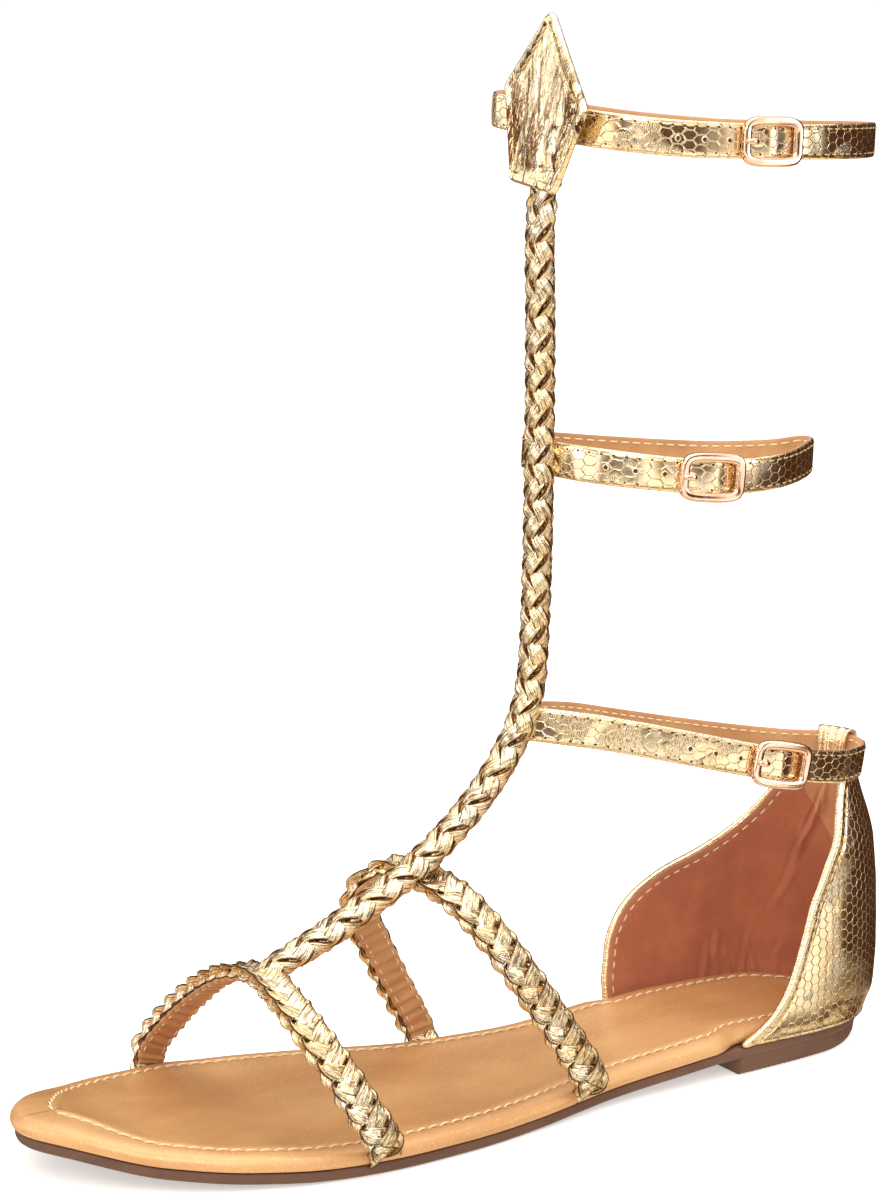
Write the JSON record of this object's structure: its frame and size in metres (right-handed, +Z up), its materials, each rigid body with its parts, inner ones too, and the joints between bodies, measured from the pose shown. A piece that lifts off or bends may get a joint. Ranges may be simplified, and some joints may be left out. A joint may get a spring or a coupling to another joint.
{
  "type": "gladiator sandal",
  "caption": "Left flat gladiator sandal with a braided T-strap up the shin, braided toe and instep straps, a closed heel counter, buckled ankle and calf straps and a kite plaque.",
  "frame": {"origin": "middle of the heel's flat bottom, on the floor", "axes": "-Y towards the toe, +X towards the outer side of the left foot, +Z up the leg"},
  "size_m": [0.0918, 0.2503, 0.2762],
  "materials": {
    "outsole": "matte taupe brown moulded rubber",
    "insole": "satin caramel leather with fine gold glitter and a stitched line",
    "heel_counter": "gold foil leather embossed with small scales, brown suede lining",
    "upper": "gold foil leather, braided or embossed with scales, tan lining",
    "plaque": "crinkled gold foil leather with a stitched edge",
    "buckle": "polished rose gold"
  },
  "bodies": {
    "root": {"outsole": "outsole", "insole": "insole", "heel_counter": "heel_counter", "upper": "upper", "plaque": "plaque", "top_buckle": "buckle", "calf_buckle": "buckle", "ankle_buckle": "buckle"}
  },
  "joints": []
}
